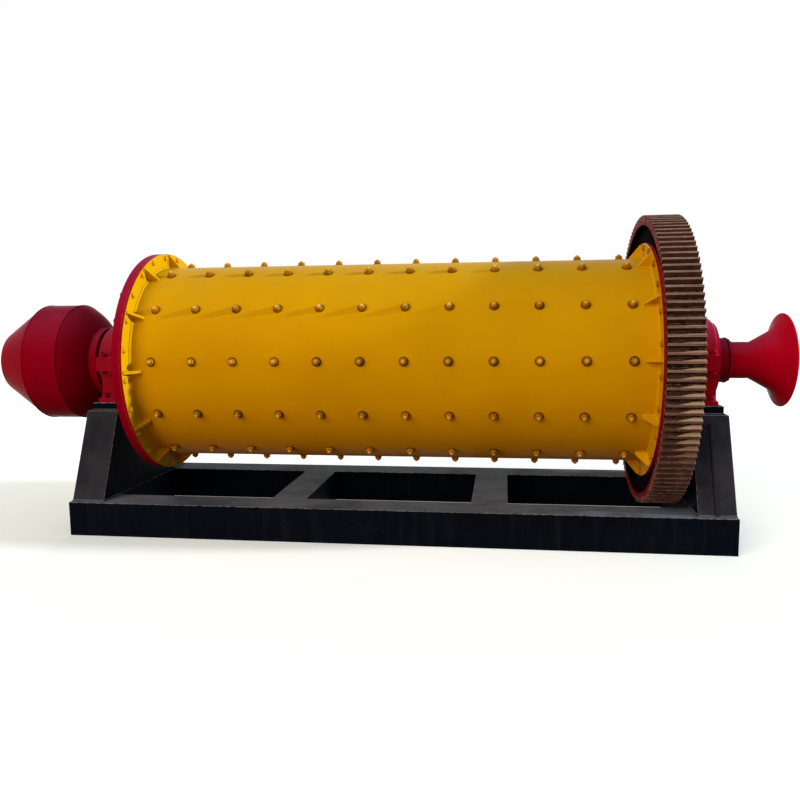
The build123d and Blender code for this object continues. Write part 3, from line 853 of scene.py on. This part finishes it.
class MILL_OT_liner_bolts(bpy.types.Operator):
    """Adds the rows of liner bolts: a washer, a nut and the stud's end at each place"""

    bl_idname = "mill.liner_bolts"
    bl_label = "Add liner bolts"

    def execute(self, context):
        sizes = context.scene.mill_bolts
        column = (np.arange(sizes.liner_columns) - (sizes.liner_columns - 1) / 2) * sizes.liner_pitch
        row = every(sizes.liner_rows, sizes.liner_turn)
        x, angle = (grid.ravel() for grid in np.meshgrid(AXIS[0] + column, row))
        outward = radial(angle)
        seat = sizes.liner_washer_height
        nut_top = seat + sizes.liner_nut_height
        on_shell = on_circle(x, SHELL_RADIUS, angle)
        on_nuts = on_circle(x, SHELL_RADIUS + nut_top, angle)
        spins = np.random.default_rng(seed=12).uniform(0, pi / 3, len(x))
        layers = [
            ("liner_washers", washer(sizes.liner_washer, seat), on_shell, "washer_grime"),
            ("liner_nuts", hex_head(sizes.liner_nut, sizes.liner_nut_height, seat), on_shell, "nut_ochre"),
            ("liner_studs", washer(sizes.liner_stud, sizes.liner_stud_height), on_nuts, "stud_steel"),
        ]
        for name, shape, places, finish in layers:
            copies = scatter(shape, places, outward, ALONG, spins)
            add_piece(name, copies, paint(finish), "drum")
        return {"FINISHED"}


class MILL_OT_flange_bolts(bpy.types.Operator):
    """Adds the bolts through the shell flanges and drum heads: nuts over the shell, heads on the far side"""

    bl_idname = "mill.flange_bolts"
    bl_label = "Add flange bolts"

    def execute(self, context):
        sizes = context.scene.mill_bolts
        turns = {"feed": sizes.feed_turn, "discharge": sizes.discharge_turn}
        behind = {"feed": sizes.head_flange, "discharge": sizes.gear_seat + sizes.head_flange}
        nut_paints = {"feed": "bolt_yellow", "discharge": "nut_ochre"}
        seat = 0.003
        disc = washer(diameter=1.28 * sizes.flange_head, thickness=seat)
        nut = stud_nut(sizes.flange_head, height=0.009, stud=0.020, proud=0.003, foot=seat)
        head = hex_head(sizes.flange_head, height=0.0125)
        random = np.random.default_rng(seed=31)
        for end, side in ENDS.items():
            flange = f"{end}_shell_flange"
            angle = every(sizes.flange_count, turns[end])
            spins = random.uniform(0, pi / 3, len(angle))
            inside = bolt_circle([disc, nut], face_x(flange, -side), -side, sizes.flange_circle, angle, spins)
            head_x = face_x(flange, side) + side * behind[end]
            outside = bolt_circle([head], head_x, side, sizes.flange_circle, angle, spins)
            add_piece(f"{end}_flange_nuts", inside, paint(nut_paints[end]), "drum")
            add_piece(f"{end}_flange_bolt_heads", outside, paint("gloss_red"), "drum")
        return {"FINISHED"}


class MILL_OT_bearing_bolts(bpy.types.Operator):
    """Adds the bolts of the bearings: through the cap's lugs, through the foot and round each cover"""

    bl_idname = "mill.bearing_bolts"
    bl_label = "Add bearing bolts"

    def execute(self, context):
        sizes = context.scene.mill_bolts
        seat = 0.004
        disc = washer(diameter=1.25 * sizes.cap_nut, thickness=seat)
        nut = stud_nut(sizes.cap_nut, height=0.018, stud=0.022, proud=0.014, foot=seat)
        head = hex_head(sizes.cap_nut, height=0.014, foot=seat)
        screw = hex_head(sizes.cover_head, height=0.008)
        x, y = (grid.ravel() for grid in np.meshgrid(FLANKS, FLANKS))
        random = np.random.default_rng(seed=5)
        for end, side in ENDS.items():
            finish = paint(BEARING_PAINTS[end])
            low, high = node_box(f"{end}_bearing_base")
            bolt_x = (low[0] + high[0]) / 2 + sizes.cap_spread * x
            spins = random.uniform(0, pi / 3, len(x))
            sets = [
                (nut, 1.0, sizes.lug_margin, AXIS[2] + sizes.lug_height),
                (head, -1.0, sizes.lug_margin, AXIS[2] - sizes.lug_height),
                (nut, 1.0, sizes.foot_margin, low[2] + sizes.foot_height),
            ]
            bolts = []
            for bolt, way, margin, z in sets:
                places = np.stack([bolt_x, (high[1] - margin) * y, np.full(len(x), z)], 1)
                bolts += [scatter(shape, places, way * UP, ALONG, spins) for shape in (disc, bolt)]
            add_piece(f"{end}_bearing_bolts", joined(*bolts), finish, "frame")
            for face, way in {"inner": -side, "outer": side}.items():
                cover = f"{end}_bearing_{face}_cover"
                angle = every(sizes.cover_count, sizes.cover_turn)
                radius = radius_of(cover) - sizes.cover_margin
                spins = random.uniform(0, pi / 3, len(angle))
                screws = bolt_circle([screw], face_x(cover, way), way, radius, angle, spins)
                add_piece(f"{end}_{face}_cover_bolts", screws, finish, "frame")
        return {"FINISHED"}


class MILL_OT_trumpet(bpy.types.Operator):
    """Adds the trumpet: a flange, a throat and a cone that bends smoothly out to a rolled rim"""

    bl_idname = "mill.trumpet"
    bl_label = "Add the trumpet"

    def execute(self, context):
        sizes = context.scene.mill_trumpet
        start, mouth = face_x("discharge_trumpet", -1.0), face_x("discharge_trumpet", 1.0)
        outer, wall, roll = sizes.throat_radius, sizes.wall, sizes.rim / 2
        throat_end = np.array([start + sizes.throat, outer])
        corner = np.array([mouth - sizes.flare, sizes.flare_radius])
        slope = (corner - throat_end) / np.linalg.norm(corner - throat_end)
        bend_start = corner - sizes.flare_start * slope
        neck = bend(throat_end - (sizes.neck, 0), throat_end, throat_end + sizes.neck * slope, count=4)
        flare = bend(bend_start, corner, (mouth - 2 * roll, sizes.mouth_radius - roll), BEND_SAMPLES)
        swing = np.linspace(pi, 0, 9)
        rim = (mouth - roll, sizes.mouth_radius - roll) + roll * np.stack([np.cos(swing), np.sin(swing)], 1)
        inward = wall * np.array([slope[1], -slope[0]])
        inner_flare = bend(rim[-1], corner + (wall, -wall / 2), bend_start + inward, BEND_SAMPLES)
        flange_face = start + sizes.flange
        flange = [(start, sizes.flange_radius), (flange_face, sizes.flange_radius), (flange_face, outer)]
        bore = [throat_end - (0, wall), (start, outer - wall)]
        profile = np.concatenate([flange, neck, flare, rim[1:-1], inner_flare, bore])
        shape = spun(profile, LATHE_SIDES)
        trumpet = add_piece("flared_trumpet", shape, paint("trumpet_red"), "drum")
        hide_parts("discharge_trumpet")
        return {"FINISHED"}


class MILL_OT_trumpet_bolts(bpy.types.Operator):
    """Adds the small bolts that hold the trumpet's flange to the trunnion"""

    bl_idname = "mill.trumpet_bolts"
    bl_label = "Add trumpet bolts"

    def execute(self, context):
        sizes = context.scene.mill_bolts
        angle = every(sizes.trumpet_count, sizes.trumpet_turn)
        flange_face = face_x("discharge_trumpet", -1.0) + context.scene.mill_trumpet.flange
        screw = hex_head(sizes.trumpet_head, height=0.006)
        screws = bolt_circle([screw], flange_face, 1.0, sizes.trumpet_circle, angle, 0.0)
        add_piece("trumpet_bolts", screws, paint("trumpet_red"), "drum")
        return {"FINISHED"}


class MILL_OT_drum_welds(bpy.types.Operator):
    """Adds the beads between flanges and shell and along the gussets, and the round seams of the feeder"""

    bl_idname = "mill.drum_welds"
    bl_label = "Add drum welds"

    def execute(self, context):
        sizes = context.scene.mill_welds
        ripple = sizes.ripple
        turns = {"feed": sizes.feed_gussets, "discharge": sizes.discharge_gussets}
        for end, side in ENDS.items():
            inward = -side * ALONG
            face = face_x(f"{end}_shell_flange", -side)
            path, outward = circle(face, SHELL_RADIUS, ripple)
            seam = beads(path, inward, outward, sizes.flange_leg, ripple, closed=True)
            add_piece(f"{end}_flange_weld", seam, paint("weld_yellow"), "drum")

            low, high = node_box(f"{end}_flange_gussets")
            angle = every(sizes.gusset_count, turns[end])
            out = radial(angle)
            runs = []
            for flank in FLANKS:
                wall = flank * radial(angle + pi / 2)
                foot = on_circle(face, SHELL_RADIUS, angle) + GUSSET_HALF * wall
                toe = foot + (high[0] - low[0]) * inward
                crown = foot + (FLANGE_RADIUS - GUSSET_MARGIN - SHELL_RADIUS) * out
                for stop, other in ((toe, out[:, None]), (crown, inward)):
                    path = straight(foot, stop, ripple)
                    runs.append(beads(path, wall[:, None], other, sizes.gusset_leg, ripple))
            add_piece(f"{end}_gusset_welds", joined(*runs), paint("weld_yellow"), "drum")

        seams = []
        for node, way in (("feeder_drum", -1.0), ("feeder_drum", 1.0), ("feeder_hub", -1.0)):
            path, outward = circle(face_x(node, way), radius_of(node) - sizes.seam_sink, ripple)
            seams.append(beads(path, ALONG, outward, sizes.seam, ripple, closed=True, full=True))
        add_piece("feeder_seams", joined(*seams), paint("gloss_red"), "drum")
        return {"FINISHED"}


class MILL_OT_frame_welds(bpy.types.Operator):
    """Adds the base frame's beads: round the pedestals and sole plates, and where beams meet the rails"""

    bl_idname = "mill.frame_welds"
    bl_label = "Add frame welds"

    def execute(self, context):
        sizes = context.scene.mill_welds
        ripple = sizes.ripple
        runs = []

        def weld(start, stop, first, second, leg=sizes.frame_leg, **section):
            runs.append(beads(straight([start], [stop], ripple), first, second, leg, ripple, **section))

        rail_low, rail_high = node_box("rear_rail")
        deck = rail_high[2]
        for end, side in ENDS.items():
            low, high = node_box(f"{end}_pedestal")
            sole_low, sole_high = node_box(f"{end}_sole_plate")
            sole_z = sole_low[2]
            inner_x = face_x(f"{end}_pedestal", -side)
            lean = (high[1] - sole_high[1] - POST_MARGIN) / (high[2] - low[2])
            for x, way in ((sole_low[0], -1.0), (sole_high[0], 1.0)):
                weld((x, sole_low[1], sole_z), (x, sole_high[1], sole_z), way * ALONG, UP)
            for flank in FLANKS:
                foot_y, sole_y = flank * high[1], flank * sole_high[1]
                slope = np.array([0.0, -flank * lean, 1.0])
                wall = slope / np.linalg.norm(slope)
                weld((low[0], foot_y, deck), (high[0], foot_y, deck), flank * BACK, wall)
                weld((inner_x, flank * rail_low[1], deck), (inner_x, foot_y, deck), -side * ALONG, UP)
                weld((sole_low[0], sole_y, sole_z), (sole_high[0], sole_y, sole_z), flank * BACK, UP)
                if end == "discharge":
                    foot = np.array([(low[0] + high[0]) / 2, foot_y, low[2]])
                    crown = foot + (high[2] - low[2] - sizes.post_seam_top) * slope
                    weld(foot, crown, sizes.post_seam_spread * ALONG, (0.0, flank, lean), sizes.post_seam,
                         full=True, rough=0.0)
        beams = {"feed_end_beam": (1.0,), "feed_cross_beam": (-1.0, 1.0), "discharge_cross_beam": (-1.0, 1.0),
                 "discharge_end_beam": (-1.0,)}
        for beam, ways in beams.items():
            low, high = node_box(beam)
            bottom, top = low[2] + sizes.frame_inset, high[2] - sizes.frame_inset
            for way in ways:
                x = face_x(beam, way)
                for flank in FLANKS:
                    y = flank * high[1]
                    weld((x, y, bottom), (x, y, top), way * ALONG, -flank * BACK)
        add_piece("frame_welds", joined(*runs), paint("weld_black"), "frame")
        return {"FINISHED"}


# Stage

BLACK = (0.0, 0.0, 0.0, 1.0)
WHITE = (1.0, 1.0, 1.0, 1.0)
FLOOR_SEEN = (0.97, 0.99, 1.02)
FLOOR_THROWN = (1.4, 0.75, 0.3)

# Lamps that look at the middle of the drum's axis, with their places measured from it
LAMPS = {
    "key": dict(kind="SUN", offset=(9.6, 0.0, 2.7), angle=radians(4.0)),
    "front": dict(kind="SUN", offset=(-9.0, -13.0, 7.2), color=(0.97, 0.80, 0.57), angle=radians(44.0)),
    "low": dict(kind="AREA", offset=(-3.0, -8.8, -0.6), color=(1.0, 0.24, 0.05), shape="RECTANGLE", size=12.0,
                size_y=0.6),
    "rear": dict(kind="AREA", offset=(-1.0, 9.5, 4.0), color=(1.0, 0.80, 0.58), shape="RECTANGLE", size=8.0,
                 size_y=4.0),
}


def pale_rays(tree):
    """1 for rays that show the background itself: from the camera, off gloss or through glass."""
    path = put(tree, "ShaderNodeLightPath").outputs
    seen = maths(tree, "MAXIMUM", path["Is Camera Ray"], path["Is Glossy Ray"])
    return maths(tree, "MAXIMUM", seen, path["Is Transmission Ray"])


def floor_finish(values):
    """A pale floor that keeps the mill's shadow and throws little light back on its underside."""
    material, tree, shader = new_material("studio_floor")
    seen = pale_rays(tree)
    base = mixed(tree, seen, rgba(FLOOR_THROWN, values.floor_bounce), rgba(FLOOR_SEEN, values.floor_tone))
    tree.links.new(base, shader.inputs["Base Color"])
    tree.links.new(mixed(tree, seen, BLACK, WHITE), shader.inputs["Emission Color"])
    shader.inputs["Emission Strength"].default_value = values.floor_lift
    shader.inputs["Roughness"].default_value = 0.9
    shader.inputs["Specular IOR Level"].default_value = 0.0
    return material


def sky_light(values):
    """White behind the mill for the camera and in reflections, and soft light all round for the rest."""
    world = bpy.data.worlds.new("soft_sky")
    world.use_nodes = True
    tree = world.node_tree
    tree.nodes.clear()
    white = put(tree, "ShaderNodeBackground", {"Color": WHITE, "Strength": 1.0})
    soft = put(tree, "ShaderNodeBackground", {"Color": rgba(values.sky_tint), "Strength": values.sky})
    shown = put(tree, "ShaderNodeMixShader", {0: pale_rays(tree), 1: soft.outputs[0], 2: white.outputs[0]})
    put(tree, "ShaderNodeOutputWorld", {"Surface": shown.outputs[0]})
    bpy.context.scene.world = world


def posed(right, up, back, place):
    """The matrix of an object at a place, whose X, Y and Z run along right, up and back."""
    columns = np.stack([right, up, back, place], 1)
    return Matrix(np.vstack([columns, [0, 0, 0, 1]]).tolist())


def lamp(name, energy, kind, offset, **settings):
    """Adds one lamp, with its beam along -Z."""
    data = bpy.data.lights.new(name, kind)
    data.energy = energy
    for key, value in settings.items():
        setattr(data, key, value)
    holder = bpy.data.objects.new(name, data)
    holder.visible_camera = False
    holder.visible_glossy = False
    back = np.array(offset) / np.linalg.norm(offset)
    right = np.cross(UP, back)
    right /= np.linalg.norm(right)
    holder.matrix_world = posed(right, np.cross(back, right), back, AXIS + offset)
    bpy.context.scene.collection.objects.link(holder)


def plane_turn(angle, first, second):
    """A turn by an angle from the first axis towards the second."""
    matrix = np.eye(3)
    matrix[[first, second], [first, second]] = np.cos(angle)
    matrix[first, second] = -np.sin(angle)
    matrix[second, first] = np.sin(angle)
    return matrix


def camera_matrix(values):
    """The camera's matrix: level and square to the drum, then turned by yaw, pitch and roll in that order."""
    level_rows = np.stack([ALONG, -UP, BACK])
    yawed = plane_turn(-values.camera_yaw, 0, 1)
    leaned = plane_turn(values.camera_roll, 0, 1) @ plane_turn(values.camera_pitch, 1, 2)
    right, down, ahead = leaned @ level_rows @ yawed
    return posed(right, -down, -ahead, AXIS + values.camera_place)


class MILL_OT_stage(bpy.types.Operator):
    """Adds the pale floor, the soft lamps, the sky and the camera"""

    bl_idname = "mill.stage"
    bl_label = "Set the stage"

    def execute(self, context):
        scene = context.scene
        values = scene.mill_stage
        half, drop = values.floor_size / 2, -values.floor_drop
        corners = [(-half, -half, drop), (half, -half, drop), (half, half, drop), (-half, half, drop)]
        mesh = bpy.data.meshes.new("studio_floor")
        mesh.from_pydata(corners, [], [(0, 1, 2, 3)])
        mesh.materials.append(floor_finish(values))
        floor = bpy.data.objects.new("studio_floor", mesh)
        scene.collection.objects.link(floor)
        sky_light(values)
        for name, settings in LAMPS.items():
            lamp(f"{name}_light", getattr(values, name), **settings)
        data = bpy.data.cameras.new("photo_camera")
        data.lens = values.lens
        data.sensor_width = 36.0
        data.clip_end = 200.0
        camera = bpy.data.objects.new("photo_camera", data)
        camera.matrix_world = camera_matrix(values)
        scene.collection.objects.link(camera)
        scene.camera = camera
        scene.view_settings.view_transform = "Standard"
        return {"FINISHED"}


class MILL_PT_looks(bpy.types.Panel):
    """Lists the steps that dress the mill"""

    bl_idname = "MILL_PT_looks"
    bl_label = "Ball mill looks"
    bl_space_type = "VIEW_3D"
    bl_region_type = "UI"
    bl_category = "Ball Mill"

    def draw(self, context):
        for operator in OPERATORS:
            self.layout.operator(operator.bl_idname)
        for group in GROUPS:
            holder = getattr(context.scene, group)
            box = self.layout.box()
            box.label(text=group)
            for name in holder.bl_rna.properties.keys():
                if name not in {"rna_type", "name"}:
                    box.prop(holder, name)


GROUPS = {"mill_bolts": MillBolts, "mill_welds": MillWelds, "mill_trumpet": MillTrumpet,
          "mill_finishes": MillFinishes, "mill_stage": MillStage}
OPERATORS = [MILL_OT_finishes, MILL_OT_liner_bolts, MILL_OT_flange_bolts, MILL_OT_bearing_bolts,
             MILL_OT_trumpet, MILL_OT_trumpet_bolts, MILL_OT_drum_welds, MILL_OT_frame_welds, MILL_OT_stage]


def register():
    for cls in [*GROUPS.values(), *OPERATORS, MILL_PT_looks]:
        bpy.utils.register_class(cls)
    for name, cls in GROUPS.items():
        setattr(bpy.types.Scene, name, PointerProperty(type=cls))


def unregister():
    for name in GROUPS:
        delattr(bpy.types.Scene, name)
    for cls in [MILL_PT_looks, *reversed(OPERATORS), *reversed(list(GROUPS.values()))]:
        bpy.utils.unregister_class(cls)


def main():
    register()
    for operator in OPERATORS:
        family, step = operator.bl_idname.split(".")
        getattr(getattr(bpy.ops, family), step)()


if __name__ == "__main__":
    main()
